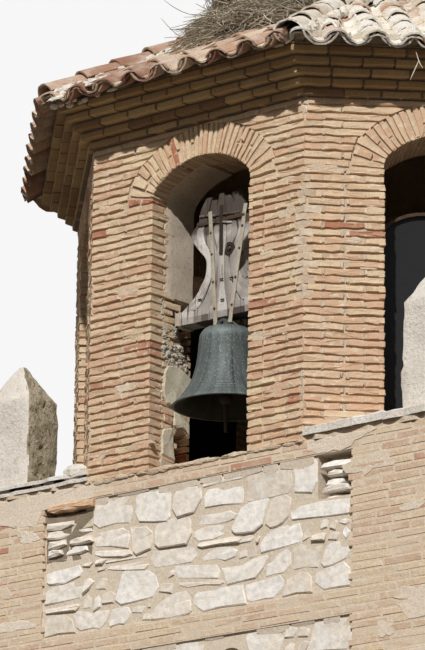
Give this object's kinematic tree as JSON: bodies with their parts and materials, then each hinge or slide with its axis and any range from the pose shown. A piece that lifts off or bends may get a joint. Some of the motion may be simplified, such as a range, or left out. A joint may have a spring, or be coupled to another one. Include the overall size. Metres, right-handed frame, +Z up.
{
  "type": "bell tower",
  "caption": "Square brick and rubble shaft with an octagonal brick belfry, basket arches, corbelled cornice, low tiled roof and a bell that swings on a timber yoke.",
  "frame": {"origin": "middle of the tower's footprint, at ground level", "axes": "+Z up; the front face, with the bell's arch, looks along -Y; +X is to the right seen from the front"},
  "size_m": [5.9, 5.9, 14.541],
  "materials": {
    "brick": "matt weathered brick with wide lime joints",
    "rubble": "rough white limestone rubble in beige mortar",
    "lime": "rough lime render with lichen",
    "tile": "weathered clay tiles with pale lichen",
    "sticks": "loose dry sticks and straw",
    "bronze": "dark green-grey bell bronze with pale specks",
    "timber": "weathered silver-grey timber",
    "iron": "weathered wrought iron with some rust",
    "screen": "dark fine mesh"
  },
  "bodies": {
    "tower": {"shaft_wall_front": "brick", "shaft_wall_right": "brick", "shaft_wall_back": "brick", "shaft_wall_left": "brick", "rubble_front": "rubble", "rubble_right": "rubble", "rubble_back": "rubble", "rubble_left": "rubble", "plank_door": "timber", "belfry_floor": "brick", "corner_copings": "lime", "pinnacle_front_left": "lime", "pinnacle_front_right": "lime", "pinnacle_back_right": "lime", "pinnacle_back_left": "lime", "belfry_pier_1": "brick", "belfry_pier_2": "brick", "belfry_pier_3": "brick", "belfry_pier_4": "brick", "belfry_pier_5": "brick", "belfry_pier_6": "brick", "belfry_pier_7": "brick", "belfry_pier_8": "brick", "arch_head_1": "brick", "arch_head_2": "brick", "arch_head_3": "brick", "arch_head_4": "brick", "arch_head_5": "brick", "arch_head_6": "brick", "arch_head_7": "brick", "arch_head_8": "brick", "arch_rings": "brick", "cornice": "brick", "roof_deck": "brick", "roof_tiles": "tile", "stick_nest": "sticks", "mesh_screens": "screen", "bearing_blocks": "iron"},
    "bell": {"yoke": "timber", "yoke_straps": "iron", "gudgeons": "iron", "bell_crown": "bronze", "bell_shell": "bronze", "clapper_staple": "iron"},
    "clapper": {"clapper": "iron"}
  },
  "joints": [
    {"name": "bell_swing", "type": "hinge", "parent": "tower", "child": "bell", "pos_m": [0.04, -2.165, 10.72], "axis": [1, 0, 0], "continuous": true},
    {"name": "clapper_swing", "type": "hinge", "parent": "bell", "child": "clapper", "pos_m": [0.04, -2.165, 10.506], "axis": [1, 0, 0], "range_deg": [-24, 24]}
  ]
}
